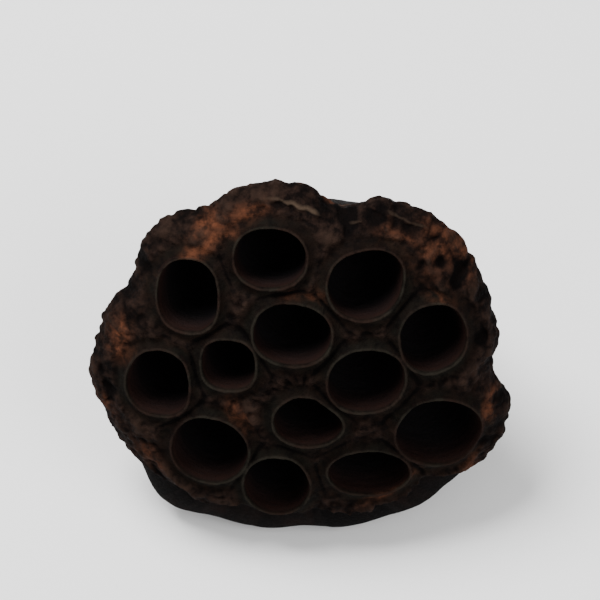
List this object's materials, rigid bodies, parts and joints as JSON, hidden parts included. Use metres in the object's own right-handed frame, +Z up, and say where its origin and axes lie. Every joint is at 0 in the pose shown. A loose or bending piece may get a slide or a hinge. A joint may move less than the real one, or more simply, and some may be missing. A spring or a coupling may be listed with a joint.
{
  "type": "dried lotus pod",
  "caption": "Dried funnel-shaped lotus seed head lying on its side, with a domed face of open seed pits, a lobed rim and a short stalk stub.",
  "frame": {"origin": "under the middle of the pod's bounding box, on the surface it lies on", "axes": "+Z up, the face of pits looks towards -Y and leans back, the stalk stub points to +Y and down, +X to the pod's right, seen from the front"},
  "size_m": [0.0876, 0.0762, 0.0733],
  "materials": {
    "dried_pod": "dull dry plant tissue, dark brown with orange-brown patches, wrinkled"
  },
  "bodies": {
    "root": {"lotus_pod": "dried_pod"}
  },
  "joints": []
}
